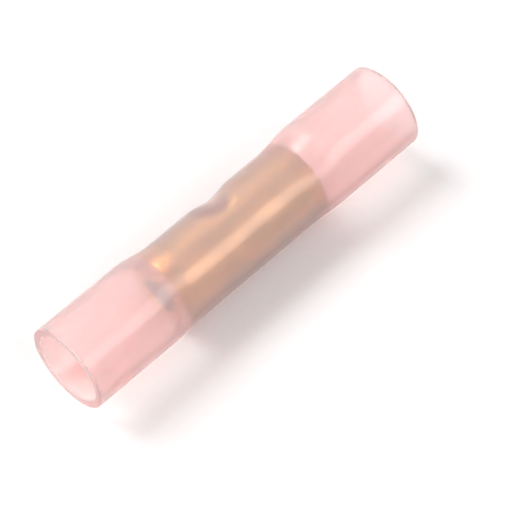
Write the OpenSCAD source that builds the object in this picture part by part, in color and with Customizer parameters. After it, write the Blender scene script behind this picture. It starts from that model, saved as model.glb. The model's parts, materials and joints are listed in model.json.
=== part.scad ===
// Heat-shrink butt splice connector, as supplied and not yet crimped or shrunk.
// A translucent sleeve is shrunk round a brass crimp barrel and stays open at both ends.
// Frame: X runs along the connector, Z is up, and the sleeve lies on the plane z = 0.

/* [Sleeve] */
// Length of the sleeve from mouth to mouth
sleeve_len = 46.5; // [40:0.1:60]
// Outer diameter of the open sleeve ends
sleeve_d = 10; // [9.8:0.1:13]
// Wall of the open sleeve ends
sleeve_wall = 0.9; // [0.7:0.05:1]
// Wall of the shrunk neck, a little thicker than that of the open ends
neck_wall = 0.95; // [0.8:0.05:1]
// Length of the shoulder between the neck and each open end
shoulder_len = 4.8; // [2.5:0.1:6]
// Depth by which the soft open ends flatten where they lie
lie_flat = 0.025; // [0.015:0.001:0.027]

/* [Barrel] */
// Length of the crimp barrel
barrel_len = 20.6; // [16:0.1:26]
// Outer diameter of the crimp barrel
barrel_d = 7.4; // [6.6:0.1:7.6]
// Bore that takes the stripped wire
barrel_bore = 4.5; // [3.6:0.1:5]
// Lead-in chamfer at each mouth of the bore
lead_in = 0.4; // [0.2:0.05:0.6]
// Chamfer on the outer edge of each barrel end
edge_break = 0.25; // [0.1:0.05:0.4]

/* [Wire stop] */
// Depth that the stop is punched into the barrel
stop_depth = 0.7; // [0.6:0.05:1.1]
// Length of the punched notch along the barrel
stop_len = 4; // [3:0.1:5]
// Turn of the notch from straight up towards +Y, in degrees
stop_turn = 52; // [-90:1:90]
// Share of the barrel wall that is left under the punch
stop_wall_share = 0.92; // [0.85:0.01:1]
// Amount by which the punch draws the bore in round the stop
stop_squeeze = 0.1; // [0.05:0.01:0.2]
// Depth that the sleeve sinks over the notch
dimple_depth = 0.45; // [0.3:0.05:0.85]
// Half angle of the sleeve's dimple round the neck, in degrees
dimple_half_angle = 60; // [50:1:80]

/* [Hidden] */

$fn = 96;
// Sides of the lofted neck, and its rings along each shoulder and across the dimple
loft_sides = 48;
shoulder_rings = 8;
dimple_rings = 12;
// The loft stays this far inside the true cylinders that it runs into
loft_inset = 0.03;
// Length by which the loft overlaps the open ends, and by which a cut passes a face
lap = 0.3;

sleeve_r = sleeve_d / 2;
mouth_r = sleeve_r - sleeve_wall;
barrel_r = barrel_d / 2;
neck_r = barrel_r + neck_wall;
bore_r = barrel_bore / 2;
mouth_x = sleeve_len / 2;
barrel_x = barrel_len / 2;
// Heights of the axes of the open ends and of the neck, which share their lowest line
sleeve_z = sleeve_r - lie_flat;
neck_z = neck_r - lie_flat;
// Each shoulder is centred on an end of the barrel
shoulder_in = barrel_x - shoulder_len / 2;
shoulder_out = barrel_x + shoulder_len / 2;
// The sleeve grips the barrel as far as the broken edge, where its inside lifts off
lift_off = barrel_x - edge_break;
// The punch is a bar across the barrel, rounded to this radius
punch_r = (pow(stop_len / 2, 2) + pow(stop_depth, 2)) / (2 * stop_depth);
punch_rise = barrel_r - stop_depth + punch_r;
punched_wall = stop_wall_share * (barrel_r - bore_r);
// Half length of the stop where it stands in the bore
stop_reach = sqrt(pow(punch_r + punched_wall, 2) - pow(punch_rise - bore_r, 2));
dimple_half_len = 0.72 * stop_len;

// 0 below a, 1 above b and a smooth S between them
function s_curve(v, a, b) =
    let (u = min(1, max(0, (v - a) / (b - a)))) u * u * (3 - 2 * u);

// A value that runs from the neck to the open ends along both shoulders, outside the sleeve
function along(x, at_neck, at_end) =
    at_neck + (at_end - at_neck) * s_curve(abs(x), shoulder_in, shoulder_out);

// A value that runs from the barrel to the open ends where the sleeve lifts off, inside it
function lifted(x, at_barrel, at_end) =
    at_barrel + (at_end - at_barrel) * s_curve(abs(x), lift_off, shoulder_out);

// 1 at the middle of a hollow, falling smoothly to 0 at its rim
function hollow(v, half) =
    pow(cos(90 * min(1, abs(v) / half)), 2);

// The turn brought to within half a turn of the notch
function from_stop(turn) = (turn - stop_turn + 540) % 360 - 180;

// Depth of the dimple at a place along the sleeve and a turn from straight up towards +Y
function dimple(x, turn) =
    dimple_depth * hollow(x, dimple_half_len) * hollow(from_stop(turn), dimple_half_angle);

// Radius of the sleeve's outside, and of the room inside it where it lifts off the barrel
function outer_r(x, turn) = along(x, neck_r, sleeve_r) - dimple(x, turn);
function inner_r(x, turn) = lifted(x, barrel_r, mouth_r);

// Evenly spaced places from a to b
function steps(a, b, count) = [for (i = [0 : count]) a + (b - a) * i / count];

// Places of the rings along the right shoulder from a given start, running on into the open end
function stations_from(start) = concat(steps(start, shoulder_out, shoulder_rings), [shoulder_out + lap]);

// Solid through a row of rings of given radius and height, closed by a flat face at each end
module loft(stations, radius, height) {
    n = loft_sides;
    last = len(stations) - 1;
    points = [
        for (x = stations)
            for (i = [0 : n - 1])
                let (turn = 360 * i / n)
                let (r = radius(x, turn) - loft_inset)
                [x, r * sin(turn), height(x) + r * cos(turn)]
    ];
    sides = [
        for (k = [0 : last - 1])
            for (i = [0 : n - 1])
                let (j = (i + 1) % n)
                let (a = k * n + i, b = k * n + j, c = a + n, d = b + n)
                each [[a, b, d], [a, d, c]]
    ];
    first_cap = [for (i = [n - 1 : -1 : 0]) i];
    last_cap = [for (i = [0 : n - 1]) last * n + i];
    polyhedron(points, concat([first_cap, last_cap], sides));
}

// Cylinder along X from one place to another, about the axis of the open ends
module rod(r, x_from, x_to) {
    translate([x_from, 0, sleeve_z]) rotate([0, 90, 0]) cylinder(r = r, h = x_to - x_from);
}

// Solid of revolution about the barrel's axis, from a profile of radius and place along X
module turned(profile) {
    translate([0, 0, neck_z]) rotate([0, 90, 0]) rotate_extrude() polygon(profile);
}

// Outside of the shrunk middle: neck, both shoulders and the dimple over the wire stop
module neck_body() {
    right = stations_from(shoulder_in);
    left = [for (i = [len(right) - 1 : -1 : 0]) -right[i]];
    middle = steps(-dimple_half_len, dimple_half_len, dimple_rings);
    loft(concat(left, middle, right), function(x, turn) outer_r(x, turn),
        function(x) along(x, neck_z, sleeve_z));
}

// Outside of the right open end, flattened where it lies
module open_end() {
    difference() {
        rod(sleeve_r, shoulder_out, mouth_x);
        translate([0, -sleeve_d, -sleeve_d]) cube([sleeve_len, 2 * sleeve_d, sleeve_d]);
    }
}

// Room inside the right open end and its shoulder
module open_end_room() {
    rod(mouth_r, shoulder_out, mouth_x + lap);
    loft(stations_from(lift_off), function(x, turn) inner_r(x, turn),
        function(x) lifted(x, neck_z, sleeve_z));
}

// The bar that punches the stop, grown by the wall where it shapes the inside
module stop_punch(grow) {
    translate([0, 0, neck_z])
        rotate([-stop_turn, 0, 0])
            translate([0, 0, punch_rise])
                rotate([90, 0, 0])
                    cylinder(r = punch_r + grow, h = 2 * barrel_d, center = true);
}

// Barrel without its bore: a cut length of rod with its edges broken and the stop punched in
module barrel_blank() {
    difference() {
        turned([
            [0, -barrel_x],
            [barrel_r - edge_break, -barrel_x],
            [barrel_r, -barrel_x + edge_break],
            [barrel_r, barrel_x - edge_break],
            [barrel_r - edge_break, barrel_x],
            [0, barrel_x]
        ]);
        stop_punch(0);
    }
}

// Bore of the barrel, with a lead-in at each mouth and the stop standing in its middle
module wire_bore() {
    beyond = barrel_x + lap;
    difference() {
        turned([
            [0, -beyond],
            [bore_r + lead_in + lap, -beyond],
            [bore_r, -barrel_x + lead_in],
            [bore_r, -stop_reach],
            [bore_r - stop_squeeze, 0],
            [bore_r, stop_reach],
            [bore_r, barrel_x - lead_in],
            [bore_r + lead_in + lap, beyond],
            [0, beyond]
        ]);
        stop_punch(punched_wall);
    }
}

// Sleeve: two open round ends and a neck that grips the barrel
module sleeve() {
    color([0.96, 0.78, 0.76, 0.6])
    difference() {
        union() {
            neck_body();
            open_end();
            mirror([1, 0, 0]) open_end();
        }
        open_end_room();
        mirror([1, 0, 0]) open_end_room();
        barrel_blank();
    }
}

// Barrel: a brass tube with a punched stop at its middle
module barrel() {
    color([0.85, 0.8, 0.62])
    difference() {
        barrel_blank();
        wire_bore();
    }
}

sleeve();
barrel();
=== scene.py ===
"""Heat-shrink butt splice connector, dressed round its CAD frame.

A translucent sleeve, open at both ends, is shrunk on a brass crimp barrel with a punched wire stop. Each
tube starts as a wall that is laid out flat, and a tree of nodes rolls it up.
"""

import json
import math

import bmesh
import bpy
from bpy.props import FloatProperty, FloatVectorProperty, PointerProperty
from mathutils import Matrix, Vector


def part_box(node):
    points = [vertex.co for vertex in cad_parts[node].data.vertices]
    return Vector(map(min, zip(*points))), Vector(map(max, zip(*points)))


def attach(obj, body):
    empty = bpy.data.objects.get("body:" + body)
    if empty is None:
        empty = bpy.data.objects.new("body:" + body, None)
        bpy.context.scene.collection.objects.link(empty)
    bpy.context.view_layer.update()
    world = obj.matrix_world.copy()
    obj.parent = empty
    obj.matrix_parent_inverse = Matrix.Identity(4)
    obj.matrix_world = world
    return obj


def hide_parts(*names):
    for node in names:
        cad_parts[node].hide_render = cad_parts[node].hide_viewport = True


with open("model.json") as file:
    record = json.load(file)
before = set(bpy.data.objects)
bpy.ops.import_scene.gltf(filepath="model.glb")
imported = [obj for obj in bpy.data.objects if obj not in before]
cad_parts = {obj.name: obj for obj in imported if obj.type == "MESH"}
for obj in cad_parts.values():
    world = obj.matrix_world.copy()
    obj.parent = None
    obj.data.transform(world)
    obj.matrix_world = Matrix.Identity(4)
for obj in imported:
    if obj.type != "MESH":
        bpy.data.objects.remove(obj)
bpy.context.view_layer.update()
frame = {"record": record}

bl_info = {
    "name": "Butt Splice Connector",
    "version": (1, 0, 0),
    "blender": (4, 5, 0),
    "location": "View3D > Sidebar > Butt Splice",
    "description": "Builds a heat-shrink butt splice connector and a small studio round it",
    "category": "Add Mesh",
}

MM = 0.001
MOUNTS = {mount["name"]: mount for mount in frame["record"]["mounts"]}

# Sizes that the frame gives, in metres
SLEEVE_HALF_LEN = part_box("sleeve")[1].x
SLEEVE_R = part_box("sleeve")[1].y
MOUTH_R = MOUNTS["right_mouth"]["dims"]["r_mm"] * MM
SLEEVE_AXIS_Z = MOUNTS["right_mouth"]["pos_m"][2]
BARREL_HALF_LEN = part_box("barrel")[1].x
BARREL_R = -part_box("barrel")[0].y
BORE_R = MOUNTS["right_wire_socket"]["dims"]["r_mm"] * MM
BARREL_AXIS_Z = MOUNTS["right_wire_socket"]["pos_m"][2]

# Attribute of both tubes: 0 on the inside of the wall and 1 on its outside
DEPTH = "depth"
# Sides of the tubes and steps of each rounded edge
BARREL_SIDES = 128
SLEEVE_SIDES = 160
EDGE_STEPS = 5
# Spacing of the points along the tubes, closer where the stop, the neck and the shoulders bend the wall
STOP_SPACING = 0.2 * MM
BARREL_SPACING = 0.5 * MM
NECK_SPACING = 0.25 * MM
END_SPACING = 0.8 * MM
# Points nearer than this are joined where a rolled wall meets itself
SEAM_GAP = 0.001 * MM
# Least cosine of the turn from the stop, which keeps the reach of the punch finite on the far side
LEAST_FACING = 0.05

# Refractive index of polyolefin
POLYOLEFIN_IOR = 1.49
# Shares of the scatter length that red, green and blue light go
SCATTER_SHARES = (1.0, 0.9, 0.9)
# Values that a noise mostly keeps between, and closer ones that give its patches an edge
NOISE_LOW = 0.3
NOISE_HIGH = 0.7
PATCH_LOW = 0.35
PATCH_HIGH = 0.65
# Places of a Mix node's sockets: the numbers and the colours that go in, and the colour that comes out
NUMBER_A = 2
NUMBER_B = 3
COLOUR_A = 6
COLOUR_B = 7
MIXED_COLOUR = 2

# Half width of the paper floor, and a drop that keeps it clear of the sleeve's flats, in metres
FLOOR_HALF = 3.0
FLOOR_DROP = 0.02 * MM
# Place, width and height of each softbox, in metres
SOFTBOXES = {
    "key": ((-0.2, 0.62, 0.76), 0.4, 0.4),
    "front": ((0.4, -0.613, 0.706), 1.0, 0.47),
    "side": ((-0.86, -0.22, 0.36), 0.5, 0.5),
}
# Bounces of light, enough for the many walls that a ray meets in the sleeve
BOUNCES = {
    "max_bounces": 32,
    "diffuse_bounces": 8,
    "glossy_bounces": 16,
    "transmission_bounces": 32,
    "transparent_max_bounces": 16,
}


def linear(hex_colour):
    """An sRGB colour written as six hex digits, as linear RGB."""
    parts = [int(hex_colour[i:i + 2], 16) / 255 for i in (0, 2, 4)]
    return tuple(p / 12.92 if p <= 0.04045 else ((p + 0.055) / 1.055) ** 2.4 for p in parts)


def size_property(name, description, default, least=0.001 * MM):
    """A length that a user may change, in metres."""
    return FloatProperty(name=name, description=description, default=default, min=least,
                         unit="LENGTH", precision=5)


def angle_property(name, description, degrees):
    """An angle that a user may change."""
    return FloatProperty(name=name, description=description, default=math.radians(degrees), subtype="ANGLE")


def share_property(name, description, default):
    """A share from 0 to 1 that a user may change."""
    return FloatProperty(name=name, description=description, default=default,
                         min=0.0, max=1.0, subtype="FACTOR")


def strength_property(name, description, default):
    """A strength or radiance that a user may change."""
    return FloatProperty(name=name, description=description, default=default, min=0.0)


def colour_property(name, description, hex_colour):
    """A colour that a user may change."""
    return FloatVectorProperty(name=name, description=description, default=linear(hex_colour),
                               size=3, min=0.0, max=1.0, subtype="COLOR")


class SpliceSleeveSettings(bpy.types.PropertyGroup):
    """Sizes and finish of the heat-shrink sleeve."""
    neck_wall: size_property("Neck wall", "Wall of the shrunk neck", 0.95 * MM)
    shoulder_len: size_property("Shoulder length", "Length of each shoulder", 4.8 * MM)
    lip: size_property("Lip", "Rounding of the cut edges at the mouths", 0.14 * MM)
    dimple_depth: size_property("Dimple depth", "Depth that the sleeve sinks over the stop", 0.45 * MM)
    dimple_reach: share_property("Dimple reach", "Half length of the dimple, in lengths of the notch", 0.72)
    dimple_half_angle: angle_property("Dimple half angle", "Half angle of the dimple round the neck", 60)
    dimple_place: size_property("Dimple place", "Place of its middle, off that of the sleeve", 0.8 * MM,
                                least=-BARREL_HALF_LEN)
    grip: size_property("Grip", "Depth that the inside sinks into the barrel, to leave no air", 0.02 * MM)
    tint: colour_property("Tint", "Colour of the plastic in the mass", "ff8462")
    tint_depth: strength_property("Tint depth", "Strength of the tint, for each millimetre of wall", 0.27)
    clarity: share_property("Clarity", "Share of the light that passes straight through a skin", 0.65)
    scatter_len: size_property("Scatter length", "Distance that other light spreads in the wall", 1.6 * MM)
    veil: colour_property("Veil", "Colour of the light that the wall scatters", "feeff0")
    veil_deep: colour_property("Deep veil", "That colour in the patches with more haze", "fae6e7")
    # Painted light: a near-white scatter colour on the inside of the wall, which brightens the inside of the
    # mouths
    painted_light_lining: colour_property("Lining", "That colour on the milky lining inside", "fffdff")
    lamp_pass: colour_property("Lamp pass", "Share of the lamps' light that each skin lets on", "cee0e0")
    gloss: share_property("Gloss", "Level of the reflection on the skin", 0.9)
    satin: share_property("Satin", "Roughness of the skin", 0.16)
    satin_spread: share_property("Satin spread", "Share by which that roughness varies", 0.2)
    cut_satin: share_property("Cut satin", "Roughness of the cut faces", 0.8)
    bloom: share_property("Bloom", "Strength of the soft bloom at glancing angles", 0.25)
    bloom_satin: share_property("Bloom satin", "Roughness of that bloom", 0.4)
    bloom_tint: colour_property("Bloom tint", "Colour of that bloom", "ffe1d3")
    die_line: size_property("Die lines", "Spacing of the faint lines that the die leaves", 0.5 * MM)
    die_run: size_property("Die run", "Length over which those lines change", 25 * MM)
    die_depth: size_property("Die depth", "Depth of those lines", 0.004 * MM)
    cloud: size_property("Cloud", "Width of the patches of haze and of the waves in the skin", 3 * MM)
    cloud_depth: size_property("Cloud depth", "Depth of those waves", 0.03 * MM)


class SpliceBarrelSettings(bpy.types.PropertyGroup):
    """Sizes and finish of the crimp barrel."""
    edge: size_property("Edge", "Rounding of the outer edges", 0.25 * MM)
    lead_in: size_property("Lead-in", "Rounding of the bore's mouths", 0.4 * MM)
    stop_depth: size_property("Stop depth", "Depth that the stop is punched", 0.7 * MM, least=0.1 * MM)
    stop_len: size_property("Stop length", "Length of the punched notch", 4 * MM, least=1 * MM)
    stop_turn: angle_property("Stop turn", "Turn of the notch from up towards +Y", 52)
    stop_wall: share_property("Stop wall", "Share of the wall that is left under the punch", 0.92)
    stop_soften: size_property("Stop softening", "Width over which the notch runs into the tube", 1 * MM)
    brass: colour_property("Brass", "Colour of the bare brass", "dcbe68")
    tarnish: colour_property("Tarnish", "Colour of the brass where it is dull", "c2a44c")
    patch: size_property("Patch", "Width of the patches of tarnish", 2.2 * MM)
    dullness: share_property("Dullness", "Roughness of the brass", 0.32)
    dull_spread: share_property("Dull spread", "Share by which that roughness varies", 0.15)
    drawn_line: size_property("Drawn lines", "Spacing of the lines that the drawing die leaves", 0.3 * MM)
    drawn_run: size_property("Drawn run", "Length over which those lines change", 10 * MM)
    drawn_depth: size_property("Drawn depth", "Depth of those lines", 0.006 * MM)


class SpliceStageSettings(bpy.types.PropertyGroup):
    """Floor, light and camera."""
    floor: colour_property("Floor", "Colour of the paper floor", "fdfdfd")
    fibre: colour_property("Fibre", "Colour of the paper where its fibres are thin", "f9f9f9")
    grain: size_property("Grain", "Width of the paper's grain", 0.8 * MM)
    floor_glow: strength_property("Floor glow", "Light of the floor that lights nothing else", 0.03)
    room: colour_property("Room", "Colour of the room round the stage", "ffffff")
    room_radiance: strength_property("Room light", "Radiance of the light from the room", 0.31)
    key_radiance: strength_property("Key", "Radiance of the softbox behind", 14.1)
    front_radiance: strength_property("Front", "Radiance of the softbox in front", 2.05)
    side_radiance: strength_property("Side", "Radiance of the softbox beyond the near mouth", 2.2)
    azimuth: angle_property("Azimuth", "Turn of the camera, 0 looks along +Y", -45)
    elevation: angle_property("Elevation", "Height of the camera above the horizon", 57.2)
    distance: size_property("Distance", "From the camera to the point it looks at", 0.3)
    aim_right: size_property("Aim right", "Shift of that point to the right", 2.65 * MM, least=-0.1)
    aim_down: size_property("Aim down", "Shift of that point downwards", 2.35 * MM, least=-0.1)
    lens: FloatProperty(name="Lens", description="Focal length of the camera, in millimetres",
                        default=202.6, min=1.0, unit="CAMERA")


class SpliceSettings(bpy.types.PropertyGroup):
    """All settings of the connector and its stage."""
    sleeve: PointerProperty(type=SpliceSleeveSettings)
    barrel: PointerProperty(type=SpliceBarrelSettings)
    stage: PointerProperty(type=SpliceStageSettings)


def add_node(tree, kind, inputs=None, **settings):
    """Adds a node with its settings, and sets or links its inputs by name or place."""
    node = tree.nodes.new(kind)
    for key, value in settings.items():
        setattr(node, key, value)
    for key, value in (inputs or {}).items():
        socket = node.inputs[key]
        if isinstance(value, bpy.types.NodeSocket):
            tree.links.new(value, socket)
        else:
            socket.default_value = value
    return node


def new_tree(name, inputs, outputs):
    """A geometry tree with named sockets, given as (name, socket type) pairs."""
    tree = bpy.data.node_groups.new(name, "GeometryNodeTree")
    for in_out, sockets in (("INPUT", inputs), ("OUTPUT", outputs)):
        for socket_name, kind in sockets:
            tree.interface.new_socket(socket_name, in_out=in_out, socket_type=kind)
    return tree, tree.nodes.new("NodeGroupInput"), tree.nodes.new("NodeGroupOutput")


def steps(start, end, spacing):
    """Evenly spaced places from start up to, but not including, end."""
    count = max(1, round((end - start) / spacing))
    return [start + (end - start) * i / count for i in range(count)]


def wall_section(half_len, places, wall, outer_lip, inner_lip):
    """Closed outline of a tube's wall: places along the axis, each with a depth of 0 inside to 1 outside."""
    right = [x for x in places if x < half_len - max(outer_lip, inner_lip)]
    arc = [math.pi / 2 * i / EDGE_STEPS for i in range(EDGE_STEPS + 1)]
    right_half = [(x, 1.0) for x in right]
    right_half += [(half_len - outer_lip * (1 - math.sin(a)), 1 - outer_lip * (1 - math.cos(a)) / wall)
                   for a in arc]
    right_half += [(half_len - inner_lip * (1 - math.cos(a)), inner_lip * (1 - math.sin(a)) / wall)
                   for a in arc]
    right_half += [(x, 0.0) for x in reversed(right)]
    left_half = [(-x, depth) for x, depth in reversed(right_half) if x > 0]
    return right_half + left_half


def flat_wall(name, section, sides):
    """A tube's wall laid out flat: X is the place along the axis, Y the turn in radians, Z the depth."""
    bm = bmesh.new()
    columns = []
    for k in range(sides + 1):
        turn = 2 * math.pi * k / sides
        columns.append([bm.verts.new((x, turn, depth)) for x, depth in section])
    count = len(section)
    for a, b in zip(columns, columns[1:]):
        for i in range(count):
            j = (i + 1) % count
            bm.faces.new((a[i], a[j], b[j], b[i]))
    mesh = bpy.data.meshes.new(name)
    bm.to_mesh(mesh)
    bm.free()
    wall = bpy.data.objects.new(name, mesh)
    bpy.context.scene.collection.objects.link(wall)
    return wall


def punched_radius_group():
    """Node group: a radius pressed in by a round bar that lies across the tube."""
    names = ["Place", "Turn from stop", "Radius", "Punch radius", "Punch rise", "Soft edge"]
    tree, given, result = new_tree("punched radius", [(name, "NodeSocketFloat") for name in names],
                                   [("Radius", "NodeSocketFloat")])
    punch_square = add_node(tree, "ShaderNodeMath", {0: given.outputs["Punch radius"], 1: 2.0},
                            operation="POWER")
    place_square = add_node(tree, "ShaderNodeMath", {0: given.outputs["Place"], 1: given.outputs["Place"]},
                            operation="MULTIPLY")
    left = add_node(tree, "ShaderNodeMath", {0: punch_square.outputs[0], 1: place_square.outputs[0]},
                    operation="SUBTRACT")
    clear = add_node(tree, "ShaderNodeMath", {0: left.outputs[0], 1: 0.0}, operation="MAXIMUM")
    hang = add_node(tree, "ShaderNodeMath", {0: clear.outputs[0]}, operation="SQRT")
    height = add_node(tree, "ShaderNodeMath", {0: given.outputs["Punch rise"], 1: hang.outputs[0]},
                      operation="SUBTRACT")
    lean = add_node(tree, "ShaderNodeMath", {0: given.outputs["Turn from stop"]}, operation="COSINE")
    facing = add_node(tree, "ShaderNodeMath", {0: lean.outputs[0], 1: LEAST_FACING}, operation="MAXIMUM")
    reach = add_node(tree, "ShaderNodeMath", {0: height.outputs[0], 1: facing.outputs[0]},
                     operation="DIVIDE")
    pressed = add_node(tree, "ShaderNodeMath",
                       {0: given.outputs["Radius"], 1: reach.outputs[0], 2: given.outputs["Soft edge"]},
                       operation="SMOOTH_MIN")
    tree.links.new(pressed.outputs[0], result.inputs["Radius"])
    return tree


def tube_tree(name, size_names):
    """A geometry tree from a flat wall to a tube, with its input and output nodes and its sizes by name."""
    inputs = [("Wall", "NodeSocketGeometry")]
    inputs += [(size_name, "NodeSocketFloat") for size_name in size_names]
    inputs += [("Material", "NodeSocketMaterial")]
    tree, given, result = new_tree(name, inputs, [("Tube", "NodeSocketGeometry")])
    size = {size_name: given.outputs[size_name] for size_name in size_names}
    return tree, given, result, size


def laid_out(tree, stop_turn):
    """Nodes that read a flat wall: place along the axis, turn, turn from the stop, and depth."""
    position = add_node(tree, "GeometryNodeInputPosition")
    split = add_node(tree, "ShaderNodeSeparateXYZ", {0: position.outputs[0]})
    offset = add_node(tree, "ShaderNodeMath", {0: split.outputs["Y"], 1: stop_turn}, operation="SUBTRACT")
    from_stop = add_node(tree, "ShaderNodeMath", {0: offset.outputs[0], 1: math.pi, 2: -math.pi},
                         operation="WRAP")
    return split.outputs["X"], split.outputs["Y"], from_stop.outputs[0], split.outputs["Z"]


def rolled(tree, given, place, turn, depth, radius, axis_z):
    """Nodes that roll the flat wall up about its axis, close its seam and give it its material.

    The depth in the wall stays with the points as an attribute, and no point goes below the floor.
    """
    marked = add_node(tree, "GeometryNodeStoreNamedAttribute",
                      {"Geometry": given.outputs["Wall"], "Name": DEPTH, "Value": depth})
    sine = add_node(tree, "ShaderNodeMath", {0: turn}, operation="SINE")
    cosine = add_node(tree, "ShaderNodeMath", {0: turn}, operation="COSINE")
    y = add_node(tree, "ShaderNodeMath", {0: radius, 1: sine.outputs[0]}, operation="MULTIPLY")
    z = add_node(tree, "ShaderNodeMath", {0: radius, 1: cosine.outputs[0], 2: axis_z},
                 operation="MULTIPLY_ADD")
    resting_z = add_node(tree, "ShaderNodeMath", {0: z.outputs[0], 1: 0.0}, operation="MAXIMUM")
    point = add_node(tree, "ShaderNodeCombineXYZ",
                     {"X": place, "Y": y.outputs[0], "Z": resting_z.outputs[0]})
    placed = add_node(tree, "GeometryNodeSetPosition",
                      {"Geometry": marked.outputs[0], "Position": point.outputs[0]})
    closed = add_node(tree, "GeometryNodeMergeByDistance",
                      {"Geometry": placed.outputs[0], "Distance": SEAM_GAP})
    smooth = add_node(tree, "GeometryNodeSetShadeSmooth", {"Geometry": closed.outputs[0]})
    real = add_node(tree, "GeometryNodeRealizeInstances", {"Geometry": smooth.outputs[0]})
    dressed = add_node(tree, "GeometryNodeSetMaterial",
                       {"Geometry": real.outputs[0], "Material": given.outputs["Material"]})
    return dressed.outputs[0]


def sleeve_tree(punched):
    """Tree that rolls up the sleeve: two open ends, a neck on the barrel and a dimple over the stop."""
    tree, given, result, size = tube_tree(
        "rolled sleeve",
        ["Neck radius", "Seat radius", "End radius", "Mouth radius", "Neck axis", "End axis",
         "Shoulder start", "Lift-off", "Shoulder end",
         "Dimple depth", "Dimple place", "Dimple half length", "Dimple half angle",
         "Stop turn", "Punch radius", "Punch rise", "Soft edge"])
    place, turn, from_stop, depth = laid_out(tree, size["Stop turn"])
    away = add_node(tree, "ShaderNodeMath", {0: place}, operation="ABSOLUTE").outputs[0]
    radii = []
    heights = []
    for start, at_neck, at_end in (("Lift-off", "Seat radius", "Mouth radius"),
                                   ("Shoulder start", "Neck radius", "End radius")):
        rise = add_node(tree, "ShaderNodeMapRange",
                        {"Value": away, "From Min": size[start], "From Max": size["Shoulder end"]},
                        interpolation_type="SMOOTHSTEP").outputs[0]
        radii.append(add_node(tree, "ShaderNodeMix",
                              {"Factor": rise, NUMBER_A: size[at_neck], NUMBER_B: size[at_end]}))
        heights.append(add_node(tree, "ShaderNodeMix",
                                {"Factor": rise, NUMBER_A: size["Neck axis"], NUMBER_B: size["End axis"]}))
    inner, outer = radii
    axis = add_node(tree, "ShaderNodeMix",
                    {"Factor": depth, NUMBER_A: heights[0].outputs[0], NUMBER_B: heights[1].outputs[0]})
    beside = add_node(tree, "ShaderNodeMath", {0: place, 1: size["Dimple place"]},
                      operation="SUBTRACT").outputs[0]
    hollows = []
    for offset, half in ((beside, size["Dimple half length"]), (from_stop, size["Dimple half angle"])):
        distance = add_node(tree, "ShaderNodeMath", {0: offset}, operation="ABSOLUTE")
        share = add_node(tree, "ShaderNodeMapRange",
                         {"Value": distance.outputs[0], "From Max": half, "To Max": math.pi / 2})
        slope = add_node(tree, "ShaderNodeMath", {0: share.outputs[0]}, operation="COSINE")
        hollows.append(add_node(tree, "ShaderNodeMath", {0: slope.outputs[0], 1: 2.0}, operation="POWER"))
    hollow = add_node(tree, "ShaderNodeMath", {0: hollows[0].outputs[0], 1: hollows[1].outputs[0]},
                      operation="MULTIPLY")
    sunk = add_node(tree, "ShaderNodeMath", {0: hollow.outputs[0], 1: size["Dimple depth"]},
                    operation="MULTIPLY")
    outside = add_node(tree, "ShaderNodeMath", {0: outer.outputs[0], 1: sunk.outputs[0]},
                       operation="SUBTRACT")
    inside = add_node(tree, "GeometryNodeGroup",
                      {"Place": place, "Turn from stop": from_stop, "Radius": inner.outputs[0],
                       "Punch radius": size["Punch radius"], "Punch rise": size["Punch rise"],
                       "Soft edge": size["Soft edge"]}, node_tree=punched)
    radius = add_node(tree, "ShaderNodeMix",
                      {"Factor": depth, NUMBER_A: inside.outputs[0], NUMBER_B: outside.outputs[0]})
    tube = rolled(tree, given, place, turn, depth, radius.outputs[0], axis.outputs[0])
    tree.links.new(tube, result.inputs["Tube"])
    return tree


def barrel_tree(punched):
    """Tree that rolls up the barrel, with the stop pressed through its wall."""
    tree, given, result, size = tube_tree(
        "rolled barrel",
        ["Outer radius", "Bore radius", "Axis",
         "Stop turn", "Punch radius", "Stop radius", "Punch rise", "Soft edge"])
    place, turn, from_stop, depth = laid_out(tree, size["Stop turn"])
    faces = []
    for radius, punch in ((size["Bore radius"], size["Stop radius"]),
                          (size["Outer radius"], size["Punch radius"])):
        faces.append(add_node(tree, "GeometryNodeGroup",
                              {"Place": place, "Turn from stop": from_stop, "Radius": radius,
                               "Punch radius": punch, "Punch rise": size["Punch rise"],
                               "Soft edge": size["Soft edge"]}, node_tree=punched))
    radius = add_node(tree, "ShaderNodeMix",
                      {"Factor": depth, NUMBER_A: faces[0].outputs[0], NUMBER_B: faces[1].outputs[0]})
    tube = rolled(tree, given, place, turn, depth, radius.outputs[0], size["Axis"])
    tree.links.new(tube, result.inputs["Tube"])
    return tree


def roll_up(wall, tree, inputs_by_name, piece_name):
    """Runs a tree on a flat wall and leaves a plain mesh at the origin."""
    modifier = wall.modifiers.new("roll", "NODES")
    modifier.node_group = tree
    inputs = [item for item in tree.interface.items_tree if item.in_out == "INPUT"]
    identifiers = {item.name: item.identifier for item in inputs}
    for name, value in inputs_by_name.items():
        modifier[identifiers[name]] = value
    depsgraph = bpy.context.evaluated_depsgraph_get()
    mesh = bpy.data.meshes.new_from_object(wall.evaluated_get(depsgraph))
    if not mesh.polygons:
        raise RuntimeError(piece_name + " came out without faces")
    mesh.name = piece_name
    piece = bpy.data.objects.new(piece_name, mesh)
    bpy.context.scene.collection.objects.link(piece)
    wall.modifiers.remove(modifier)
    flat_mesh = wall.data
    bpy.data.objects.remove(wall)
    bpy.data.meshes.remove(flat_mesh)
    return piece


def new_material(name):
    """An empty node material, its tree and its output node."""
    material = bpy.data.materials.new(name)
    material.use_nodes = True
    material.node_tree.nodes.clear()
    return material, material.node_tree, material.node_tree.nodes.new("ShaderNodeOutputMaterial")


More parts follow.
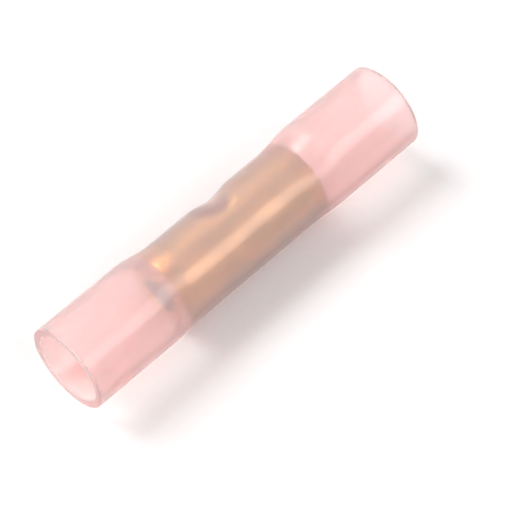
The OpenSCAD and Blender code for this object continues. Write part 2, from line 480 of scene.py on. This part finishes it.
def sleeve_material(sleeve):
    """Extruded polyolefin, tinted in the mass, with a paler inside whose colour is painted light.

    The wall shows the barrel and tints it, and part of the light scatters in it. It is paler on the inside,
    where a near-white scatter colour paints in the light that brightens the mouths.
    Its satin skin has faint die lines along the tube, drawn as coarse as they need to show, and soft waves
    and patches of haze. The lamps shine through as if the wall did not bend their light, which keeps its
    shadow pale and even.
    """
    material, tree, output = new_material("polyolefin extruded pink")
    place = add_node(tree, "ShaderNodeTexCoord").outputs["Object"]
    drawn_out = (sleeve.die_line / sleeve.die_run, 1.0, 1.0)
    stretched = add_node(tree, "ShaderNodeMapping", {"Vector": place, "Scale": drawn_out}).outputs[0]
    die_lines = add_node(tree, "ShaderNodeTexNoise",
                         {"Vector": stretched, "Scale": 1 / sleeve.die_line, "Detail": 1.0}).outputs[0]
    cloud = add_node(tree, "ShaderNodeTexNoise",
                     {"Vector": place, "Scale": 1 / sleeve.cloud, "Detail": 2.0}).outputs[0]
    haze = add_node(tree, "ShaderNodeMix",
                    {"Factor": cloud, COLOUR_A: (*sleeve.veil, 1.0), COLOUR_B: (*sleeve.veil_deep, 1.0)},
                    data_type="RGBA").outputs[MIXED_COLOUR]
    depth = add_node(tree, "ShaderNodeAttribute", attribute_name=DEPTH).outputs["Fac"]
    # Painted light: the inside of the wall, at depth 0, scatters the near-white colour that brightens the
    # inside of the mouths
    veil = add_node(tree, "ShaderNodeMix",
                    {"Factor": depth, COLOUR_A: (*sleeve.painted_light_lining, 1.0), COLOUR_B: haze},
                    data_type="RGBA").outputs[MIXED_COLOUR]
    skin = add_node(tree, "ShaderNodeMapRange",
                    {"Value": cloud, "From Min": NOISE_LOW, "From Max": NOISE_HIGH,
                     "To Min": sleeve.satin * (1 - sleeve.satin_spread),
                     "To Max": sleeve.satin * (1 + sleeve.satin_spread)}).outputs[0]
    along = add_node(tree, "ShaderNodeSeparateXYZ", {0: place}).outputs["X"]
    away = add_node(tree, "ShaderNodeMath", {0: along}, operation="ABSOLUTE").outputs[0]
    cut = add_node(tree, "ShaderNodeMath", {0: away, 1: SLEEVE_HALF_LEN - sleeve.lip},
                   operation="GREATER_THAN").outputs[0]
    roughness = add_node(tree, "ShaderNodeMix",
                         {"Factor": cut, NUMBER_A: skin, NUMBER_B: sleeve.cut_satin}).outputs[0]
    lined = add_node(tree, "ShaderNodeBump", {"Height": die_lines, "Distance": sleeve.die_depth}).outputs[0]
    waved = add_node(tree, "ShaderNodeBump",
                     {"Height": cloud, "Distance": sleeve.cloud_depth, "Normal": lined}).outputs[0]
    wall = add_node(tree, "ShaderNodeBsdfPrincipled",
                    {"Base Color": veil, "Roughness": roughness, "Normal": waved, "IOR": POLYOLEFIN_IOR,
                     "Transmission Weight": sleeve.clarity, "Subsurface Weight": 1.0,
                     "Subsurface Radius": SCATTER_SHARES, "Subsurface Scale": sleeve.scatter_len,
                     "Specular IOR Level": sleeve.gloss, "Sheen Weight": sleeve.bloom,
                     "Sheen Roughness": sleeve.bloom_satin, "Sheen Tint": (*sleeve.bloom_tint, 1.0)})
    path = add_node(tree, "ShaderNodeLightPath")
    lit = add_node(tree, "ShaderNodeBsdfTransparent", {"Color": (*sleeve.lamp_pass, 1.0)})
    shader = add_node(tree, "ShaderNodeMixShader",
                      {0: path.outputs["Is Shadow Ray"], 1: wall.outputs[0], 2: lit.outputs[0]})
    tree.links.new(shader.outputs[0], output.inputs["Surface"])
    body = add_node(tree, "ShaderNodeVolumeAbsorption",
                    {"Color": (*sleeve.tint, 1.0), "Density": sleeve.tint_depth / MM})
    tree.links.new(body.outputs[0], output.inputs["Volume"])
    return material


def barrel_material(barrel):
    """Drawn brass, dull from handling.

    It has a warm soft gloss, patches of tarnish, and lines along the tube, drawn as coarse as they need to
    show through the sleeve.
    """
    material, tree, output = new_material("brass drawn dull")
    place = add_node(tree, "ShaderNodeTexCoord").outputs["Object"]
    drawn_out = (barrel.drawn_line / barrel.drawn_run, 1.0, 1.0)
    stretched = add_node(tree, "ShaderNodeMapping", {"Vector": place, "Scale": drawn_out}).outputs[0]
    lines = add_node(tree, "ShaderNodeTexNoise",
                     {"Vector": stretched, "Scale": 1 / barrel.drawn_line, "Detail": 2.0}).outputs[0]
    patches = add_node(tree, "ShaderNodeTexNoise",
                       {"Vector": place, "Scale": 1 / barrel.patch, "Detail": 3.0}).outputs[0]
    share = add_node(tree, "ShaderNodeMapRange",
                     {"Value": patches, "From Min": PATCH_LOW, "From Max": PATCH_HIGH},
                     interpolation_type="SMOOTHSTEP")
    colour = add_node(tree, "ShaderNodeMix",
                      {"Factor": share.outputs[0], COLOUR_A: (*barrel.brass, 1.0),
                       COLOUR_B: (*barrel.tarnish, 1.0)}, data_type="RGBA").outputs[MIXED_COLOUR]
    roughness = add_node(tree, "ShaderNodeMapRange",
                         {"Value": patches, "From Min": NOISE_LOW, "From Max": NOISE_HIGH,
                          "To Min": barrel.dullness * (1 - barrel.dull_spread),
                          "To Max": barrel.dullness * (1 + barrel.dull_spread)}).outputs[0]
    lined = add_node(tree, "ShaderNodeBump", {"Height": lines, "Distance": barrel.drawn_depth}).outputs[0]
    shader = add_node(tree, "ShaderNodeBsdfPrincipled",
                      {"Base Color": colour, "Metallic": 1.0, "Roughness": roughness, "Normal": lined})
    tree.links.new(shader.outputs[0], output.inputs["Surface"])
    return material


def seen_share(tree):
    """Nodes that give 1 to the rays of the eye, of gloss and of clear plastic, and 0 to light that falls."""
    path = add_node(tree, "ShaderNodeLightPath")
    seen = path.outputs["Is Camera Ray"]
    for kind in ("Is Glossy Ray", "Is Transmission Ray"):
        seen = add_node(tree, "ShaderNodeMath", {0: seen, 1: path.outputs[kind]},
                        operation="MAXIMUM").outputs[0]
    return seen


def paper_material(stage):
    """Matt white paper, with a faint grain of fibres that keeps it from looking flat."""
    material, tree, output = new_material("paper matt white")
    place = add_node(tree, "ShaderNodeTexCoord").outputs["Object"]
    grain = add_node(tree, "ShaderNodeTexNoise",
                     {"Vector": place, "Scale": 1 / stage.grain, "Detail": 3.0}).outputs[0]
    tone = add_node(tree, "ShaderNodeMix",
                    {"Factor": grain, COLOUR_A: (*stage.floor, 1.0), COLOUR_B: (*stage.fibre, 1.0)},
                    data_type="RGBA").outputs[MIXED_COLOUR]
    paper = add_node(tree, "ShaderNodeBsdfDiffuse", {"Color": tone})
    strength = add_node(tree, "ShaderNodeMath", {0: seen_share(tree), 1: stage.floor_glow},
                        operation="MULTIPLY")
    glow = add_node(tree, "ShaderNodeEmission", {"Strength": strength.outputs[0]})
    shader = add_node(tree, "ShaderNodeAddShader", {0: paper.outputs[0], 1: glow.outputs[0]})
    tree.links.new(shader.outputs[0], output.inputs["Surface"])
    return material


def punch_sizes(barrel):
    """Radius of the bar that punches the stop, and height of its middle above the barrel's axis."""
    punch_r = ((barrel.stop_len / 2) ** 2 + barrel.stop_depth ** 2) / (2 * barrel.stop_depth)
    return punch_r, BARREL_R - barrel.stop_depth + punch_r


class SPLICE_OT_make_barrel(bpy.types.Operator):
    """Makes the brass crimp barrel with its punched wire stop"""
    bl_idname = "splice.make_barrel"
    bl_label = "Make Barrel"

    def execute(self, context):
        barrel = context.scene.splice.barrel
        wall = BARREL_R - BORE_R
        punch_r, punch_rise = punch_sizes(barrel)
        places = steps(0.0, barrel.stop_len, STOP_SPACING)
        places += steps(barrel.stop_len, BARREL_HALF_LEN, BARREL_SPACING)
        section = wall_section(BARREL_HALF_LEN, places, wall, barrel.edge, barrel.lead_in)
        sizes = {"Outer radius": BARREL_R, "Bore radius": BORE_R, "Axis": BARREL_AXIS_Z,
                 "Stop turn": barrel.stop_turn, "Punch radius": punch_r,
                 "Stop radius": punch_r + barrel.stop_wall * wall, "Punch rise": punch_rise,
                 "Soft edge": barrel.stop_soften, "Material": barrel_material(barrel)}
        flat = flat_wall("barrel wall", section, BARREL_SIDES)
        piece = roll_up(flat, barrel_tree(punched_radius_group()), sizes, "crimp_barrel")
        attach(piece, "root")
        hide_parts("barrel")
        return {"FINISHED"}


class SPLICE_OT_make_sleeve(bpy.types.Operator):
    """Makes the heat-shrink sleeve, open at both ends and shrunk on the barrel"""
    bl_idname = "splice.make_sleeve"
    bl_label = "Make Sleeve"

    def execute(self, context):
        sleeve = context.scene.splice.sleeve
        barrel = context.scene.splice.barrel
        punch_r, punch_rise = punch_sizes(barrel)
        shoulder_start = BARREL_HALF_LEN - sleeve.shoulder_len / 2
        shoulder_end = BARREL_HALF_LEN + sleeve.shoulder_len / 2
        places = steps(0.0, shoulder_end, NECK_SPACING)
        places += steps(shoulder_end, SLEEVE_HALF_LEN, END_SPACING)
        section = wall_section(SLEEVE_HALF_LEN, places, SLEEVE_R - MOUTH_R, sleeve.lip, sleeve.lip)
        sizes = {"Neck radius": BARREL_R + sleeve.neck_wall, "Seat radius": BARREL_R - sleeve.grip,
                 "End radius": SLEEVE_R, "Mouth radius": MOUTH_R,
                 "Neck axis": BARREL_AXIS_Z, "End axis": SLEEVE_AXIS_Z,
                 "Shoulder start": shoulder_start, "Lift-off": BARREL_HALF_LEN - barrel.edge,
                 "Shoulder end": shoulder_end,
                 "Dimple depth": sleeve.dimple_depth, "Dimple place": sleeve.dimple_place,
                 "Dimple half length": sleeve.dimple_reach * barrel.stop_len,
                 "Dimple half angle": sleeve.dimple_half_angle,
                 "Stop turn": barrel.stop_turn, "Punch radius": punch_r + sleeve.grip,
                 "Punch rise": punch_rise, "Soft edge": barrel.stop_soften,
                 "Material": sleeve_material(sleeve)}
        flat = flat_wall("sleeve wall", section, SLEEVE_SIDES)
        piece = roll_up(flat, sleeve_tree(punched_radius_group()), sizes, "shrink_sleeve")
        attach(piece, "root")
        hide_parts("sleeve")
        return {"FINISHED"}


def lay_floor(stage):
    """Lays a wide sheet of paper under the part."""
    z = -FLOOR_DROP
    corners = [(-FLOOR_HALF, -FLOOR_HALF, z), (FLOOR_HALF, -FLOOR_HALF, z),
               (FLOOR_HALF, FLOOR_HALF, z), (-FLOOR_HALF, FLOOR_HALF, z)]
    mesh = bpy.data.meshes.new("floor")
    mesh.from_pydata(corners, [], [(0, 1, 2, 3)])
    mesh.materials.append(paper_material(stage))
    floor = bpy.data.objects.new("floor", mesh)
    bpy.context.scene.collection.objects.link(floor)


def fill_room(stage):
    """Sets a white room that the eye sees as white and that sends a weaker light."""
    world = bpy.data.worlds.new("room")
    world.use_nodes = True
    tree = world.node_tree
    background = tree.nodes["Background"]
    background.inputs["Color"].default_value = (*stage.room, 1.0)
    strength = add_node(tree, "ShaderNodeMix",
                        {"Factor": seen_share(tree), NUMBER_A: stage.room_radiance, NUMBER_B: 1.0})
    tree.links.new(strength.outputs[0], background.inputs["Strength"])
    bpy.context.scene.world = world


def hang_softbox(name, place, aim, width, height, radiance):
    """Hangs a rectangular lamp of even radiance that faces a point."""
    lamp = bpy.data.lights.new(name, "AREA")
    lamp.shape = "RECTANGLE"
    lamp.size = width
    lamp.size_y = height
    lamp.energy = radiance * math.pi * width * height
    box = bpy.data.objects.new(name, lamp)
    box.location = place
    box.rotation_mode = "QUATERNION"
    box.rotation_quaternion = (aim - Vector(place)).to_track_quat("-Z", "Y")
    bpy.context.scene.collection.objects.link(box)


def place_camera(stage, middle):
    """Places the camera so that the part stands in the picture as its settings say."""
    turn = stage.azimuth
    rise = stage.elevation
    back = Vector((math.sin(turn) * math.cos(rise), -math.cos(turn) * math.cos(rise), math.sin(rise)))
    right = Vector((math.cos(turn), math.sin(turn), 0.0))
    up = back.cross(right)
    aim = middle + right * stage.aim_right - up * stage.aim_down
    lens = bpy.data.cameras.new("camera")
    lens.lens = stage.lens
    camera = bpy.data.objects.new("camera", lens)
    camera.location = aim + back * stage.distance
    camera.rotation_mode = "QUATERNION"
    camera.rotation_quaternion = (-back).to_track_quat("-Z", "Y")
    bpy.context.scene.collection.objects.link(camera)
    bpy.context.scene.camera = camera


class SPLICE_OT_make_stage(bpy.types.Operator):
    """Makes the floor, the soft light and the camera"""
    bl_idname = "splice.make_stage"
    bl_label = "Make Stage"

    def execute(self, context):
        stage = context.scene.splice.stage
        middle = Vector((0.0, 0.0, SLEEVE_AXIS_Z))
        context.scene.view_settings.view_transform = "Standard"
        for name, count in BOUNCES.items():
            setattr(context.scene.cycles, name, count)
        lay_floor(stage)
        fill_room(stage)
        for name, (place, width, height) in SOFTBOXES.items():
            radiance = getattr(stage, name + "_radiance")
            hang_softbox(name + " softbox", place, middle, width, height, radiance)
        place_camera(stage, middle)
        return {"FINISHED"}


# The operators in the order that they run, each under the name of its settings
OPERATORS = {
    "barrel": SPLICE_OT_make_barrel,
    "sleeve": SPLICE_OT_make_sleeve,
    "stage": SPLICE_OT_make_stage,
}


class SPLICE_PT_panel(bpy.types.Panel):
    """Lists the connector's pieces and its stage, each with its settings"""
    bl_idname = "SPLICE_PT_panel"
    bl_label = "Butt Splice"
    bl_space_type = "VIEW_3D"
    bl_region_type = "UI"
    bl_category = "Butt Splice"

    def draw(self, context):
        for name, operator in OPERATORS.items():
            settings = getattr(context.scene.splice, name)
            box = self.layout.box()
            box.operator(operator.bl_idname)
            for setting in type(settings).__annotations__:
                box.prop(settings, setting)


CLASSES = (SpliceSleeveSettings, SpliceBarrelSettings, SpliceStageSettings, SpliceSettings,
           *OPERATORS.values(), SPLICE_PT_panel)


def register():
    """Registers the classes and gives each scene its settings."""
    for cls in CLASSES:
        bpy.utils.register_class(cls)
    bpy.types.Scene.splice = PointerProperty(type=SpliceSettings)


def unregister():
    """Takes the settings and the classes away again."""
    del bpy.types.Scene.splice
    for cls in reversed(CLASSES):
        bpy.utils.unregister_class(cls)


def main():
    """Builds the connector and its stage."""
    register()
    bpy.ops.splice.make_barrel()
    bpy.ops.splice.make_sleeve()
    bpy.ops.splice.make_stage()


if __name__ == "__main__":
    main()
